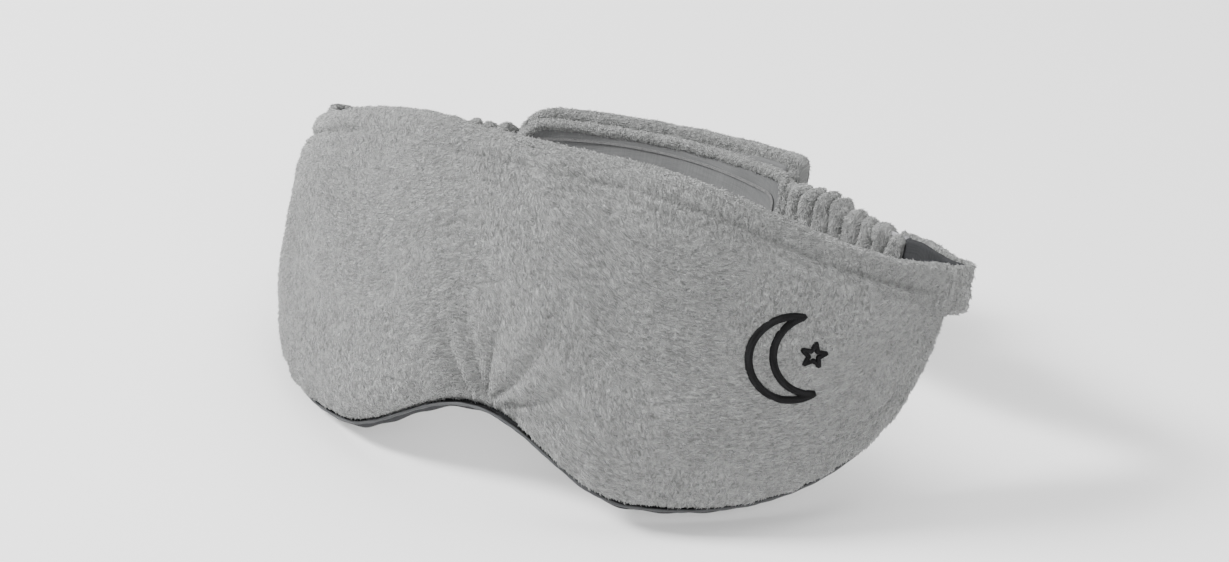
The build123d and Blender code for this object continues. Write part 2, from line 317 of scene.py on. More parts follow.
def pile_tufts(source, share, body=None, keep=lambda index: True, length=TUFT_LENGTH):
    """Fine tufts on a share of a plush piece's points, combed downwards, as a piece of their own."""
    chooser = random.Random(len(source.name))
    mesh = source.data
    layer = mesh.uv_layers["cloth"].data
    cloth = {}
    for loop in mesh.loops:
        cloth.setdefault(loop.vertex_index, tuple(layer[loop.index].uv))
    points, faces, spots = [], [], []
    for vertex in mesh.vertices:
        if chooser.random() > share or not keep(vertex.index):
            continue
        normal = vertex.normal
        lay = Vector((0, 0, -1)) + normal * normal.z
        if lay.length < 0.1:
            lay = normal.orthogonal()
        swirl = 2.2 * noise.noise(vertex.co * 38) + chooser.uniform(-0.4, 0.4)
        lay = Matrix.Rotation(swirl, 3, normal) @ lay.normalized()
        side = normal.cross(lay) * TUFT_WIDTH / 2 * MM
        long = length * chooser.uniform(0.6, 1.25) * MM
        base = vertex.co - normal * TUFT_ROOT * MM
        start = len(points)
        tip = base + normal * long * chooser.uniform(0.3, 0.65) + lay * long * 0.8
        tip.z = max(tip.z, FLOOR_GAP * MM)
        points += [base + side, base - side, base + normal * TUFT_THICK * MM, tip]
        faces += [(start, start + 1, start + 3), (start, start + 3, start + 2),
                  (start + 1, start + 2, start + 3), (start, start + 2, start + 1)]
        spots.append(cloth[vertex.index])
    tufts = bpy.data.meshes.new(f"{source.name}_pile")
    tufts.from_pydata([tuple(point) for point in points], [], faces)
    tufts.polygons.foreach_set("use_smooth", [True] * len(faces))
    coordinates = tufts.uv_layers.new(name="cloth").data
    for loop in tufts.loops:
        coordinates[loop.index].uv = spots[loop.vertex_index // 4]
    tufts.materials.append(source.data.materials[0])
    piece = add_piece(tufts.name, tufts, body)
    return piece


def ring_lengths(ring):
    """Distance round a ring to each of its points, and right round it, in mm."""
    total = [0.0]
    for first, second in zip(ring, ring[1:] + ring[:1]):
        total.append(total[-1] + (second - first).length / MM)
    return total


EDGE_ROLL = 0.95  # radius of a slab's rolled edges, as a share of half its thickness


def rounded_ring(half_thick, low, high, count):
    """Points (depth, height, facing out, facing up) round a slab's cross-section with rolled edges."""
    radius = min(half_thick, (high - low) / 2) * EDGE_ROLL
    flat_tall = (high - low) - 2 * radius
    flat_deep = 2 * half_thick - 2 * radius
    quarter = pi * radius / 2
    front, back = half_thick - radius, -(half_thick - radius)
    bottom, top = low + radius, high - radius
    parts = ((flat_tall, "front"), (quarter, "top front"), (flat_deep, "top"), (quarter, "top back"),
             (flat_tall, "back"), (quarter, "low back"), (flat_deep, "low"), (quarter, "low front"))
    whole = sum(length for length, _ in parts)
    ring = []
    for step in range(count):
        left = whole * step / count
        for length, part in parts:
            if left <= length or part == "low front":
                break
            left -= length
        turn = left / radius
        if part == "front":
            ring.append((half_thick, bottom + left, 1, 0))
        elif part == "top front":
            ring.append((front + radius * cos(turn), top + radius * sin(turn), cos(turn), sin(turn)))
        elif part == "top":
            ring.append((front - left, high, 0, 1))
        elif part == "top back":
            ring.append((back - radius * sin(turn), top + radius * cos(turn), -sin(turn), cos(turn)))
        elif part == "back":
            ring.append((-half_thick, top - left, -1, 0))
        elif part == "low back":
            ring.append((back - radius * cos(turn), bottom - radius * sin(turn), -cos(turn), -sin(turn)))
        elif part == "low":
            ring.append((back + left, low, 0, -1))
        else:
            ring.append((front + radius * sin(turn), bottom - radius * cos(turn), sin(turn), -cos(turn)))
    return ring


def rough_pile(point, amount):
    """Uneven height of the pile at a point, in mm."""
    coarse = noise.noise(point * 800)
    fine = noise.noise(point * 1700 + Vector((3, 7, 1)))
    return amount * (0.8 * coarse + 0.8 * fine)


# ---- Padded panel ----
def on_bow(arc, depth, height):
    """A point of the panel: along its seam, in front of the seam, and up, all in mm."""
    turn = arc / BOW_RADIUS
    reach = BOW_RADIUS + depth
    return place(reach * sin(turn), BOW_RADIUS - reach * cos(turn), height)


def top_edge(arc):
    """Level over the nose, then down to the ear tabs in a soft curve."""
    return PANEL_HEIGHT - TOP_FALL * smooth(*TOP_FALL_RANGE, abs(arc))


def bottom_edge(arc):
    """Nose notch, round lobes and the climb to the tabs, which starts nearer to the nose on the right."""
    reach = abs(arc)
    low_point = LEFT_LOW_POINT + (RIGHT_LOW_POINT - LEFT_LOW_POINT) * smooth(-20, 40, arc)
    notch = NOTCH_RISE * (1 + cos(pi * min(1, reach / NOTCH_HALF_WIDTH))) / 2
    across = max(0, min(1, (reach - low_point) / (HALF_SPAN - low_point)))
    return notch + TAB_BOTTOM * (1 - sqrt(1 - across**2))


def crown_share(arc):
    """Full crown over the middle, thin at the ear tabs."""
    return 1 - 0.74 * (abs(arc) / TAB_END) ** 5


# Folds above the nose notch: heading off upright in degrees, and strength
GATHER_RAYS = ((-58, 0.6), (-33, 1.0), (-12, 0.9), (9, 1.0), (31, 0.8), (56, 1.0), (78, 0.7))
GATHER_DEPTH = 1.9
GATHER_MIDDLE = (1.5, NOTCH_RISE - 2)  # where they meet, along the seam and up

# Long soft folds: from and to, both (along seam, up), then width and depth; a ridge's depth is negative
PULLS = (
    ((52, 71), (104, 61), 3.4, 1.5),
    ((55, 64), (100, 55), 4, -0.8),
    ((-70, 70), (-101, 60), 4, 1.0),
    ((-20, 60), (-52, 72), 6, 0.8),
)

# Creases below the top roll: distance from the top edge, its wander, width, depth and unevenness
CREASES = (
    (5.4, 0.9, 1.0, 1.15, 0.0),
    (8.4, 1.6, 0.8, 0.45, 0.4),
    (11.2, -1.8, 0.8, 0.3, 0.3),
)


def gathers(arc, height):
    """Folds that fan out from the top of the nose notch, in mm below the surface."""
    across, up = arc - GATHER_MIDDLE[0], height - GATHER_MIDDLE[1]
    reach = hypot(across, up)
    heading = degrees(atan2(across, up))
    depth = -0.28
    for ray, strength in GATHER_RAYS:
        spread = 5.5 + 17 / (reach + 3)
        depth += strength * hump(ray + 4 * sin(reach / 8 + ray), spread, heading)
    length = 34 + 16 * noise.noise(Vector((heading / 18, 3, 3)))
    return GATHER_DEPTH * depth * smooth(0, 7, reach) * (1 - smooth(length * 0.3, length * 1.25, reach))


def pull(arc, height, start, end, width):
    """Share of a long soft fold from start to end, both (along seam, up); 1 in its middle."""
    run = (end[0] - start[0], end[1] - start[1])
    long = hypot(*run)
    along = ((arc - start[0]) * run[0] + (height - start[1]) * run[1]) / long**2
    aside = ((arc - start[0]) * run[1] - (height - start[1]) * run[0]) / long
    return hump(0, width, aside) * smooth(-0.15, 0.25, along) * (1 - smooth(0.7, 1.1, along))


def panel_relief(arc, height, low, high):
    """How far the plush side swells or dips from its plain crown, in mm."""
    from_top, from_low = high - height, height - low
    swell = 1.1 * noise.noise(Vector((arc / 34, height / 30, 2)))
    swell += 0.45 * noise.noise(Vector((arc / 11, height / 13, 8)))
    swell += 0.35 * hump(2.4, 2, from_top)  # the top roll
    hollow = 2.4 * hump(-2, 15, arc) * (1 - smooth(0.1, 0.95, from_low / (high - low)))
    dip = gathers(arc, height) + hollow
    for start, end, width, depth in PULLS:
        dip += depth * pull(arc, height, start, end, width)
    wander = noise.noise(Vector((arc / 23, 0, 5)))
    line = noise.noise(Vector((arc / 9, 0, 9)))
    for drop, stray, width, depth, uneven in CREASES:
        dip += (depth + uneven * line) * hump(drop + stray * wander, width, from_top)
    pucker = sin(arc / 1.35 + 2.5 * noise.noise(Vector((arc / 8, 1, 1))))
    dip += 0.42 * pucker * (1 - smooth(1, 9, from_low)) * smooth(0, 1.5, from_low)
    return swell - dip


PROFILE_STEPS = 240


def plush_profile(arc, count):
    """Front of the panel's cross-section from the bottom seam over the crown to the top roll."""
    low, high = bottom_edge(arc) + SEAM_ROLL, top_edge(arc)
    front = CROWN * crown_share(arc)
    middle, half = (low + high) / 2, (high - low) / 2
    dense = []
    for step in range(PROFILE_STEPS + 1):
        turn = pi * step / PROFILE_STEPS
        side = -1 if cos(turn) > 0 else 1
        height = middle + side * half * abs(cos(turn)) ** CROWN_TALL
        depth = front * sin(turn) ** CROWN_DEEP
        dense.append((depth, height))
    lengths = [0.0]
    for first, second in zip(dense, dense[1:]):
        lengths.append(lengths[-1] + hypot(second[0] - first[0], second[1] - first[1]))
    profile, inside = [], 0
    for step in range(count):
        wanted = lengths[-1] * step / (count - 1)
        while inside < PROFILE_STEPS - 1 and lengths[inside + 1] < wanted:
            inside += 1
        share = (wanted - lengths[inside]) / (lengths[inside + 1] - lengths[inside])
        first, second = dense[inside], dense[inside + 1]
        profile.append(tuple(low_end + share * (high_end - low_end)
                             for low_end, high_end in zip(first, second)))
    return profile, low, high


def stations(end, count):
    """Distances along the seam, closer together at the round ends."""
    evenly = [2 * step / (count - 1) - 1 for step in range(count)]
    return [end * sin(pi / 2 * share) * 0.35 + end * share * 0.65 for share in evenly]


def make_panel_plush():
    """Plush side: the front profile with its relief and pile, closed by a shallow back inside it."""
    columns, rows, hidden = ((400, 150, 12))
    rings, across, along = [], [], []
    for arc in stations(PANEL_END, columns):
        profile, low, high = plush_profile(arc, rows)
        calm = 1 - 0.75 * smooth(98, 109, abs(arc))
        ring, cloth, walked = [], [], 0
        for step, (depth, height) in enumerate(profile):
            before = profile[max(0, step - 1)]
            after = profile[min(rows - 1, step + 1)]
            tilt_d, tilt_h = after[1] - before[1], before[0] - after[0]
            size = hypot(tilt_d, tilt_h)
            lift = panel_relief(arc, height, low, high) * smooth(0, 0.6, depth / CROWN) * calm
            lift += rough_pile(on_bow(arc, depth, height), PILE)
            ring.append(on_bow(arc, depth + lift * tilt_d / size, height + lift * tilt_h / size))
            walked += hypot(depth - before[0], height - before[1])
            cloth.append(walked)
        for step in range(1, hidden):
            share = step / hidden
            sag = 1.0 * sin(pi * share) * crown_share(arc)
            ring.append(on_bow(arc, -0.5 - sag, high + share * (low - high)))
            cloth.append(walked + share * (high - low))
        cloth.append(cloth[-1] + 5)
        rings.append(ring)
        across.append(cloth)
        along.append(arc)
    piece = cloth_mesh("panel_plush", rings, across, along, PLUSH, "mask")
    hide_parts("front_panel")
    around = len(rings[0])
    pile_tufts(piece, 0.78, "mask", lambda index: index % around < rows)


WADDING_LOW, WADDING_HIGH = 5, 6  # how far the wadding stays from the plush side's low and high edge


def make_wadding():
    """Soft fill between plush and lining; it follows the plush side at a distance."""
    rings, across = [], []
    arcs = stations(99, 90)
    for arc in arcs:
        profile, low, high = plush_profile(arc, 40)
        squeeze = 1 - (WADDING_LOW + WADDING_HIGH) / (high - low)
        front = [(0.3 + 0.48 * depth, low + WADDING_LOW + (height - low) * squeeze)
                 for depth, height in profile]
        back = [(0.0, height) for _, height in front[::-1]]
        ring = [on_bow(arc, depth, height) for depth, height in front + back]
        rings.append(ring)
        across.append(ring_lengths(ring))
    piece = cloth_mesh("wadding_fill", rings, across, arcs, WADDING, "mask")
    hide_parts("wadding_pad")


LINING_LIP = 0.12  # share of the lining's height that rolls forward under the bottom edge


def make_panel_lining():
    """Charcoal lining: crowned back, rolled forward under the bottom edge and up to the top seam."""
    columns, rows = ((320, 90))
    rings, across, along = [], [], []
    for arc in stations(PANEL_END + 1, columns):
        low, high = bottom_edge(arc), top_edge(arc) - 1.4
        back = BACK_CROWN * crown_share(arc)
        lip = 2.6 * crown_share(arc)
        outer = []
        for step in range(rows):
            share = step / (rows - 1)
            if share < LINING_LIP:
                turn = pi / 2 * share / LINING_LIP
                point = (lip * cos(turn), low + 1.5 - 1.6 * sin(turn))
            else:
                rise = (share - LINING_LIP) / (1 - LINING_LIP)
                swell = sin(pi * rise) ** 0.5
                point = (-back * swell, low - 0.1 + rise * (high - low))
            wave = 0.5 * noise.noise(Vector((arc / 12, point[1] / 10, 4)))
            tuck = 0.22 * sin(arc / 1.6) * hump(LINING_LIP, 0.07, share)
            outer.append((point[0] + (wave if share > 0.2 else 0), point[1] + tuck))
        inner = [(depth + 1.0, height + (1.0 if number < rows * 0.14 else 0))
                 for number, (depth, height) in enumerate(outer)]
        ring = [on_bow(arc, depth, height) for depth, height in outer + inner[::-6]]
        rings.append(ring)
        across.append(ring_lengths(ring))
        along.append(arc)
    piece = cloth_mesh("panel_lining", rings, across, along, CHARCOAL, "mask")
    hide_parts("lining_panel")


def sweep_tube(name, centres, radii, material, body):
    """Closed tube through points; radii are (sideways, up) for each point, in mm."""
    sides = 10
    turns = [2 * pi * step / sides for step in range(sides)]
    up = place(0, 0, 1) - place(0, 0, 0)
    rings = []
    for number, centre in enumerate(centres):
        before, after = centres[max(0, number - 1)], centres[min(len(centres) - 1, number + 1)]
        run = (after - before).normalized()
        side = run.cross(up).normalized()
        rise = side.cross(run).normalized()
        wide, tall = radii[number]
        rings.append([centre + side * (wide * MM * cos(turn)) + rise * (tall * MM * sin(turn))
                      for turn in turns])
    walked = [0.0]
    for first, second in zip(centres, centres[1:]):
        walked.append(walked[-1] + (second - first).length / MM)
    return cloth_mesh(name, rings, [ring_lengths(ring) for ring in rings], walked, material, body)


def make_roll_highlight():
    """Lighter grey tube along the bottom seam, between the plush and the charcoal roll: painted highlight
    where the charcoal roll catches the light.
    """
    arcs = stations(HALF_SPAN, 420)
    centres = [on_bow(arc, 2.3 * crown_share(arc) + 0.25, bottom_edge(arc) + 1.0) for arc in arcs]
    radii = [(0.5, 0.42 + 0.06 * sin(arc / 0.8)) for arc in arcs]
    piece = sweep_tube("edge_binding", centres, radii, ROLL_HIGHLIGHT_GREY, "mask")


# ---- Embroidery ----
MOTIF = (68, 43)  # along the seam and up
MOON_RADIUS, MOON_CUT_RADIUS = 10.5, 8.6
MOON_CUT = (4.6, 1.5)
STAR_RADIUS, STAR_DENT = 2.7, 0.45  # outer corners; inner ones as a share of them
STAR_MIDDLE = (4.4, 1.3)
STITCH_PITCH = 0.42
MOON_STITCH, STAR_STITCH = 1.7, 1.1  # widths of the stitched lines
# Round section of a stitched line: across it as a share of half its width, and up
STITCH_SECTION = ((-1, -0.5), (-1.02, 0.15), (-0.8, 0.55), (-0.4, 0.82), (0, 0.9),
                  (0.4, 0.82), (0.8, 0.55), (1.02, 0.15), (1, -0.5))


def on_plush(arc, height, lift):
    """A point on the plush side's smooth surface, with a lift off it, in mm."""
    low, high = bottom_edge(arc) + SEAM_ROLL, top_edge(arc)
    share = (height - (low + high) / 2) / ((high - low) / 2)
    cosine = abs(share) ** (1 / CROWN_TALL)
    depth = CROWN * crown_share(arc) * (1 - cosine**2) ** (CROWN_DEEP / 2)
    return on_bow(arc, depth + panel_relief(arc, height, low, high) + lift, height)


def crescent_outline(count):
    """Middle line of the crescent's stitched outline, as (across, up) from the motif's middle."""
    inset = 0.7
    outer, cut = MOON_RADIUS - inset, MOON_CUT_RADIUS + inset
    gap = hypot(*MOON_CUT)
    lean = atan2(MOON_CUT[1], MOON_CUT[0])
    horn = (outer**2 - cut**2 + gap**2) / (2 * gap)
    open_outer = atan2(sqrt(outer**2 - horn**2), horn)
    open_cut = atan2(sqrt(outer**2 - horn**2), horn - gap)
    line = []
    for step in range(count):
        turn = lean + open_outer + (2 * pi - 2 * open_outer) * step / count
        line.append((outer * cos(turn), outer * sin(turn)))
    for step in range(count):
        turn = lean - open_cut - (2 * pi - 2 * open_cut) * step / count
        line.append((MOON_CUT[0] + cut * cos(turn), MOON_CUT[1] + cut * sin(turn)))
    return line


def star_outline(count):
    """Middle line of a small five-pointed star."""
    corners = []
    for number in range(10):
        turn, reach = number * pi / 5, STAR_RADIUS * (STAR_DENT if number % 2 else 1)
        corners.append((reach * sin(turn) + STAR_MIDDLE[0], reach * cos(turn) + STAR_MIDDLE[1]))
    line = []
    for first, second in zip(corners, corners[1:] + corners[:1]):
        line += [(first[0] + (second[0] - first[0]) * step / count,
                  first[1] + (second[1] - first[1]) * step / count) for step in range(count)]
    return line


def satin_stitch(name, line, width, node):
    """Raised band of parallel threads that follows a closed line on the plush."""
    spaced, total = [], 0.0
    loop = line + line[:1]
    for first, second in zip(loop, loop[1:]):
        length = hypot(second[0] - first[0], second[1] - first[1])
        steps = max(1, ceil(length / (STITCH_PITCH / 3)))
        spaced += [(first[0] + (second[0] - first[0]) * step / steps,
                    first[1] + (second[1] - first[1]) * step / steps,
                    total + length * step / steps) for step in range(steps)]
        total += length
    rings, along = [], []
    count = len(spaced)
    for number in range(count + 1):
        here, before, after = (spaced[(number + offset) % count] for offset in (0, -2, 2))
        run = Vector((after[0] - before[0], after[1] - before[1])).normalized()
        ring = []
        for side, rise in STITCH_SECTION:
            slant = 0.35 * side
            across = here[0] - run.y * side * width / 2 + run.x * slant
            up = here[1] + run.x * side * width / 2 + run.y * slant
            ridge = 0.10 * cos(2 * pi * here[2] / STITCH_PITCH)
            ring.append(on_plush(MOTIF[0] + across, MOTIF[1] + up, 0.15 + rise * (0.75 + ridge)))
        rings.append(ring)
        along.append(here[2] if number < count else total)
    piece = cloth_mesh(name, rings, [ring_lengths(ring) for ring in rings], along,
                       BLACK_THREAD, "mask", caps=False)
    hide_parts(node)


make_panel_plush()
make_wadding()
make_panel_lining()
make_roll_highlight()
satin_stitch("moon_stitching", crescent_outline(60), MOON_STITCH, "moon_embroidery")
satin_stitch("star_stitching", star_outline(6), STAR_STITCH, "star_embroidery")


# ---- Strap ----
def tab_point(side, reach):
    """A point of a folded tab seen from above, a distance from its fold."""
    run = radians(STRAP_ANGLE)
    return (side * (FOLD[0] - reach * cos(run)), FOLD[1] + reach * sin(run))


def closure_point(angle, radius):
    """A point of the closure's bow, seen from above."""
    return (radius * sin(radians(angle)), CLOSURE_Y + radius * cos(radians(angle)))


def eased(path, count):
    """Evenly spaced points along a smooth curve near a list of plan points, and its length."""
    points = [Vector(point) for point in path]
    for _ in range(4):
        cut = [points[0]]
        for first, second in zip(points, points[1:]):
            cut += [first.lerp(second, 0.25), first.lerp(second, 0.75)]
        points = cut + [points[-1]]
    lengths = [0.0]
    for first, second in zip(points, points[1:]):
        lengths.append(lengths[-1] + (second - first).length)
    spaced, inside = [], 0
    for step in range(count):
        wanted = lengths[-1] * step / (count - 1)
        while inside < len(points) - 2 and lengths[inside + 1] < wanted:
            inside += 1
        gap = max(1e-9, lengths[inside + 1] - lengths[inside])
        spaced.append(points[inside].lerp(points[inside + 1], (wanted - lengths[inside]) / gap))
    return spaced, lengths[-1]


def slab(name, path, count, around, section, relief, material, side=1, body=None):
    """Strap piece swept along a plan path; side is 1 or -1, whichever side of the path faces out.

    section(share) gives (inner, outer, low, high): offsets from the path towards the outside of
    the loop, and heights. relief(share, mm along, height, facing out, facing up) moves the surface.
    """
    line, length = eased(path, count)
    rings, across, along = [], [], []
    for number, point in enumerate(line):
        before, after = line[max(0, number - 1)], line[min(count - 1, number + 1)]
        run = (after - before).normalized()
        out = Vector((run.y, -run.x)) * side
        share = number / (count - 1)
        inner, outer, low, high = section(share)
        middle = (inner + outer) / 2
        ring = []
        for depth, height, facing_out, facing_up in rounded_ring((outer - inner) / 2, low, high, around):
            lift = relief(share, share * length, height, facing_out, facing_up)
            spot = point + out * (middle + depth + lift * facing_out)
            ring.append(place(spot.x, spot.y, height + lift * facing_up))
        rings.append(ring)
        across.append(ring_lengths(ring))
        along.append(share * length)
    return cloth_mesh(name, rings, across, along, material, body)


def furry(amount=PILE, swell=0.4):
    """Relief of a plain plush surface."""
    def relief(share, along, height, facing_out, facing_up):
        spot = Vector((along, height, 3 * facing_out)) * MM
        soft = noise.noise(Vector((along / 9, height / 9, facing_out)))
        return swell * soft + rough_pile(spot, amount)
    return relief


def plain(share, along, height, facing_out, facing_up):
    """Relief of smooth cloth: a few shallow waves."""
    return 0.25 * noise.noise(Vector((along / 8, height / 8, facing_out)))


def ruffled(pitch, depth, seed):
    """Relief of a gathered plush tube: fat ruffles with narrow valleys across it."""
    def relief(share, along, height, facing_out, facing_up):
        wander = 2.4 * noise.noise(Vector((height / 8, seed, facing_out / 2)))
        wander += 2.2 * noise.noise(Vector((along / 7, height / 9, seed)))
        ridge = abs(sin(pi * (along + wander) / pitch)) ** 0.7
        ridge *= 0.75 + 0.5 * noise.noise(Vector((along / 5, height / 5, seed + 3)))
        ends = smooth(0, 0.08, share) * (1 - smooth(0.92, 1, share))
        spot = Vector((along, height, 4 * facing_out + seed)) * MM
        return depth * (ridge - 0.5) * (0.35 + 0.65 * ends) + rough_pile(spot, PILE * 0.6)
    return relief


def bow_plan(side, arc):
    """A point of the panel's seam seen from above."""
    turn = arc / BOW_RADIUS
    return (side * BOW_RADIUS * sin(turn), BOW_RADIUS - BOW_RADIUS * cos(turn))


# The left half of the strap is side -1 and the right half is side 1
SIDES = {-1: "left", 1: "right"}
TAB_TAIL = {-1: 3, 1: 8}  # how far each tab runs past its sewn end, over the sleeve
SLEEVE_ENDS = {
    -1: closure_point(OUTER_FLAP[0] + 0.6, CLOSURE_RADIUS + 3.4),
    1: closure_point(INNER_FLAP[1] - 0.3, CLOSURE_RADIUS - 2.6),
}
SLEEVE_RISE = {-1: 1.2, 1: 4.6}  # how far each sleeve's upper edge climbs towards its flap
SLEEVE_SLIM = {-1: 1.6, 1: 0}  # how much thinner its inner side gets, to let the inner flap pass
RUFFLE_PITCH, RUFFLE_DEPTH = 5.2, 2.6


def strap_point(side, distance):
    """A point of the sleeve's line, a distance from the tab's sewn end."""
    start, end = Vector(tab_point(side, TAB_REACH)), Vector(SLEEVE_ENDS[side])
    return start + (end - start).normalized() * distance


def make_tab(side):
    """Ear tab: leaves the panel's end, folds sharply back and meets the gathered sleeve."""
    name, strap = SIDES[side], f"{SIDES[side]}_strap"
    path = [bow_plan(side, arc) for arc in (101, 106, 110)]
    path += [(side * (FOLD[0] + 0.9), FOLD[1] - 0.6), (side * (FOLD[0] + 0.3), FOLD[1] + 1.2)]
    path += [tab_point(side, reach) for reach in (4, 9, 14)]
    path += [strap_point(side, 0.5), strap_point(side, TAB_TAIL[side])]

    def cover_section(share):
        to_fold = smooth(0.15, 0.42, share)
        back = smooth(0.46, 0.8, share)
        low = 54.8 + 1.6 * to_fold - 4.9 * back
        high = 66.2 + 2.0 * to_fold + 1.6 * back
        return 0.6 - 1.2 * (1 - to_fold), 2.7, low, high

    def lining_section(share):
        inner, _, low, high = cover_section(share)
        return inner - 1.5, inner - 0.1, low + 0.8, high - 0.8

    cover = slab(f"{name}_tab_plush", path, 90, 84, cover_section, furry(), PLUSH_UPRIGHT, side)
    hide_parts(f"{name}_ear_cover")
    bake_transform(cover)
    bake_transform(pile_tufts(cover, 0.5))
    lining = slab(f"{name}_tab_lining", path, 60, 60, lining_section, plain, CHARCOAL, side)
    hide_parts(f"{name}_ear_lining")
    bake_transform(lining)


def make_sleeve(side):
    """Plush tube gathered over the flat elastic, from the tab to its closure flap."""
    name, strap = SIDES[side], f"{SIDES[side]}_strap"
    first, last = strap_point(side, TAB_TAIL[side] - 3.5), Vector(SLEEVE_ENDS[side])
    path = [first, first.lerp(last, 0.5), last]

    def tube_section(share):
        swell = sin(pi * share) ** 0.5
        low = STRAP_MID - 9.5 - 2.2 * swell - 2.5 * smooth(0.7, 1, share)
        high = STRAP_MID + 8.0 + 1.0 * swell + SLEEVE_RISE[side] * smooth(0, 0.9, share)
        thick = 1.9 + 1.1 * swell
        return SLEEVE_SLIM[side] * smooth(0.3, 0.75, share) - thick, thick, low, high

    def elastic_section(share):
        return -0.75, 0.75, STRAP_MID - 9.0, STRAP_MID + 9.0

    tube = slab(f"{name}_sleeve_plush", path, 170, 130, tube_section,
                ruffled(RUFFLE_PITCH, RUFFLE_DEPTH, 4 + side), PLUSH_UPRIGHT, side)
    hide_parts(f"{name}_sleeve")
    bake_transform(tube)
    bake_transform(pile_tufts(tube, 0.5))
    band = slab(f"{name}_elastic_band", path, 60, 40, elastic_section, plain, ELASTIC, side)
    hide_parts(f"{name}_elastic")
    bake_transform(band)


# ---- Closure flaps ----
LEFT_CORNERS = (7, 9)  # radii of a flap's low and high corner
RIGHT_CORNERS = {OUTER_FLAP: (3, 1.5), INNER_FLAP: (7, 4)}
END_RISE = 3.5  # a flap's low edge curves up by this much at both ends
LEFT_FALL = 4.0  # its high edge comes down by this much at the left end
RIGHT_FALL = {OUTER_FLAP: 1.0, INNER_FLAP: 3.0}


def corner_cut(distance, radius):
    """How far a round corner draws an edge in, at a distance from the flap's end."""
    return radius - sqrt(max(0, radius**2 - max(0, radius - distance) ** 2))


def flap_edges(flap, share, inset=0.0):
    """Low and high edge of a closure flap along its length, from its left end to its right one."""
    left_end, right_end, top = flap
    long = radians(right_end - left_end) * CLOSURE_RADIUS - 2 * inset
    left, right = share * long, (1 - share) * long
    low_cut, high_cut = (
        corner_cut(left, at_left - inset / 2) + corner_cut(right, at_right - inset / 2)
        for at_left, at_right in zip(LEFT_CORNERS, RIGHT_CORNERS[flap])
    )
    low = FLAP_BOTTOM + END_RISE * (2 * share - 1) ** 2 + inset + low_cut
    high = top - LEFT_FALL * (1 - share) ** 2 - RIGHT_FALL[flap] * share**3 - inset - high_cut
    return low, high


def flap_section(flap, inner, outer, inset=0.0):
    """Section for slab(): between two depths, and inside the flap's edges by an inset."""
    return lambda share: (inner, outer, *flap_edges(flap, share, inset))


def arc_path(flap, radius, inset=0.0):
    """Plan path along the closure's bow, between a flap's ends."""
    steps = 24
    trim = degrees(inset / radius)
    first, last = flap[0] + trim, flap[1] - trim
    return [closure_point(first + (last - first) * step / steps, radius) for step in range(steps + 1)]


def make_outer_flap():
    """Outer flap: a thick plush slab, with a grey satin facing sewn on its inner side, its grey darkened
    as painted shade.
    """
    cover = slab("outer_flap_plush", arc_path(OUTER_FLAP, CLOSURE_RADIUS + 3.2), 230, 190,
                 flap_section(OUTER_FLAP, -2.1, 2.1), furry(0.35, 0.4), PLUSH, -1, "outer_flap")
    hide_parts("outer_flap_cover")
    pile_tufts(cover, 0.5, "outer_flap")
    facing = slab("outer_flap_satin", arc_path(OUTER_FLAP, CLOSURE_RADIUS + 1.25, 4), 110, 90,
                  flap_section(OUTER_FLAP, -0.6, 0.7, 4), plain, SHADED_SATIN_GREY, -1, "outer_flap")
    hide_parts("outer_flap_facing")


def flap_rim(flap, inset, steps):
    """Points (along the bow, up), in mm, round a flap's edge: a closed line with round corners."""
    shares = [0.004 + 0.992 * step / (steps - 1) for step in range(steps)]
    line = [(share, flap_edges(flap, share, inset)[1]) for share in shares]
    line += [(share, flap_edges(flap, share, inset)[0]) for share in shares[::-1]]
    trim = degrees(inset / CLOSURE_RADIUS)
    first, last = flap[0] + trim, flap[1] - trim
    points = [Vector((radians(first + (last - first) * share) * CLOSURE_RADIUS, height))
              for share, height in line]
    for _ in range(2):
        cut = []
        for here, after in zip(points, points[1:] + points[:1]):
            cut += [here.lerp(after, 0.25), here.lerp(after, 0.75)]
        points = cut
    return points


BORDER_PITCH = 0.55
BORDER_WIDE, BORDER_DEEP = 1.55, 2.15  # half the width and half the depth of the inner flap's border
BORDER_SIDES = 30


def make_flap_border():
    """Rolled plush border of the inner flap."""
    rim = flap_rim(INNER_FLAP, 1.5, 60)
    loop = rim + rim[:1]
    spaced, spare = [], 0.0
    for here, after in zip(loop, loop[1:]):
        length = (after - here).length
        while spare < length:
            spaced.append(here.lerp(after, spare / length))
            spare += BORDER_PITCH
        spare -= length
    rings, along = [], []
    for number in range(len(spaced) + 1):
        here, before, after = (spaced[(number + offset) % len(spaced)] for offset in (0, -3, 3))
        run = (after - before).normalized()
        puff = 1 + 0.10 * noise.noise(Vector((here.x / 5, here.y / 5, 1)))
        ring = []
        for step in range(BORDER_SIDES):
            turn = 2 * pi * step / BORDER_SIDES
            pile = rough_pile(Vector((here.x, here.y, 5 * turn)) * MM, 0.3)
            wide = (BORDER_WIDE * puff + pile) * cos(turn)
            deep = (BORDER_DEEP * puff + pile) * sin(turn)
            arc, height = here.x + run.y * wide, here.y - run.x * wide
            x, y = closure_point(degrees(arc / CLOSURE_RADIUS), CLOSURE_RADIUS - 2.75 + deep)
            ring.append(place(x, y, height))
        rings.append(ring)
        along.append(BORDER_PITCH * number)
    border = cloth_mesh("inner_flap_border", rings, [ring_lengths(ring) for ring in rings], along,
                        PLUSH_UPRIGHT, "inner_flap", caps=False)
    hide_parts("inner_flap_cover")
    pile_tufts(border, 0.5, "inner_flap", length=0.8)


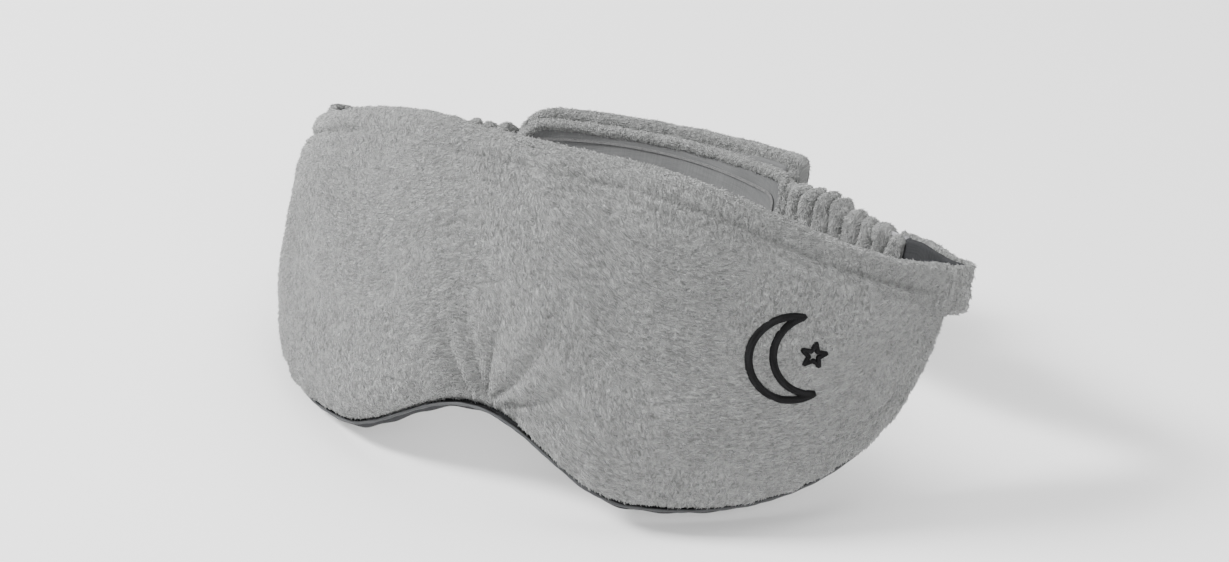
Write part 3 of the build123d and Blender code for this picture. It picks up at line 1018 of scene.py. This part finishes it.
def make_inner_flap():
    """Inner flap inside its border: a thin plush back and a grey satin window, its grey darkened as
    painted shade.
    """
    back = slab("inner_flap_plush", arc_path(INNER_FLAP, CLOSURE_RADIUS - 2.1, 2), 90, 70,
                flap_section(INNER_FLAP, -0.7, 0.7, 1.6), furry(0.2, 0.1), PLUSH, -1, "inner_flap")
    window = slab("inner_flap_satin", arc_path(INNER_FLAP, CLOSURE_RADIUS - 3.55, 2), 110, 90,
                  flap_section(INNER_FLAP, -0.5, 0.6, 1.7), plain, SHADED_SATIN_GREY, -1, "inner_flap")
    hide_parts("inner_flap_lining")


for side, flap in ((-1, "outer_flap"), (1, "inner_flap")):
    make_tab(side)
    make_sleeve(side)
make_outer_flap()
make_flap_border()
make_inner_flap()


# ---- Carried-over CAD nodes ----
def dress(node, material):
    """Give a CAD node that is shown as it is a material."""
    target = bpy.data.objects[node]
    target.data.materials.clear()
    target.data.materials.append(material)


BLACKOUT = object_cloth("blackout cloth", (0.035, 0.035, 0.037), (0.012, 0.012, 0.013), 2400)
HOOK_TAPE = object_cloth("hook tape", (0.12, 0.12, 0.12), (0.03, 0.03, 0.03), 1500,
                         rough=0.5, distance=0.0008)
LOOP_TAPE = object_cloth("loop tape", (0.36, 0.36, 0.36), (0.15, 0.15, 0.15), 1300, distance=0.0007)
PLUSH_STITCH = object_cloth("stitch thread", (0.27, 0.27, 0.27), (0.17, 0.17, 0.17), 1700, rough=0.8)
SATIN_STITCH = object_cloth("satin stitch thread", (0.15, 0.15, 0.15), (0.1, 0.1, 0.1), 1700, rough=0.8)
dress("blackout_layer", BLACKOUT)
dress("hook_patch", HOOK_TAPE)
dress("loop_patch", LOOP_TAPE)
dress("inner_flap_stitching", SATIN_STITCH)
for node in ("outer_flap_stitching", "left_bar_tack", "right_bar_tack"):
    dress(node, PLUSH_STITCH)


# ---- Floor, light and camera ----
def plain_material(name, colour, rough):
    material = bpy.data.materials.new(name)
    material.use_nodes = True
    shader = material.node_tree.nodes["Principled BSDF"]
    shader.inputs["Base Color"].default_value = (*colour, 1)
    shader.inputs["Roughness"].default_value = rough
    return material


# The floor lies a hair below the mask, so that the two share no surface
bpy.ops.mesh.primitive_plane_add(size=12, location=(0, 0, -0.4 * MM))
floor = bpy.context.object
floor.name = "floor"
floor.data.materials.append(plain_material("floor white", (0.93, 0.93, 0.93), 0.9))


def area_light(name, spot, aim, size, power):
    data = bpy.data.lights.new(name, "AREA")
    data.energy, data.size = power, size
    lamp = bpy.data.objects.new(name, data)
    bpy.context.collection.objects.link(lamp)
    lamp.location = spot
    lamp.rotation_euler = (Vector(aim) - Vector(spot)).to_track_quat("-Z", "Y").to_euler()


MIDDLE = (0, 0, 0.04)
area_light("key", (-1.0, -0.45, 0.9), MIDDLE, 0.35, 39)
area_light("fill", (0.9, -1.1, 0.7), MIDDLE, 1.0, 17)
area_light("top", (0.1, 0.5, 1.4), MIDDLE, 1.0, 14)
world = bpy.data.worlds.new("soft white surround")
world.use_nodes = True
world.node_tree.nodes["Background"].inputs["Color"].default_value = (1, 1, 1, 1)
world.node_tree.nodes["Background"].inputs["Strength"].default_value = 0.75
bpy.context.scene.world = world

# Camera as fitted to the photo
AZIMUTH, ELEVATION, ROLL = radians(29.94), radians(26.99), radians(0.66)
DISTANCE = 0.6822
LENS = 84.95
TARGET = Vector((0, CENTRE_SHIFT * MM + 0.0206, GROUND_RISE * MM + 0.0412))
camera = bpy.data.objects.new("camera", bpy.data.cameras.new("camera"))
bpy.context.collection.objects.link(camera)
back = Vector((sin(AZIMUTH) * cos(ELEVATION), -cos(AZIMUTH) * cos(ELEVATION), sin(ELEVATION)))
camera.location = TARGET + back * DISTANCE
turn = (-back).to_track_quat("-Z", "Y").to_matrix() @ Matrix.Rotation(ROLL, 3, "Z")
camera.rotation_euler = turn.to_euler()
camera.data.lens = LENS
camera.data.sensor_width = 36
camera.data.shift_x, camera.data.shift_y = 0.08161, -0.00114
camera.data.clip_start = 0.01
bpy.context.scene.camera = camera
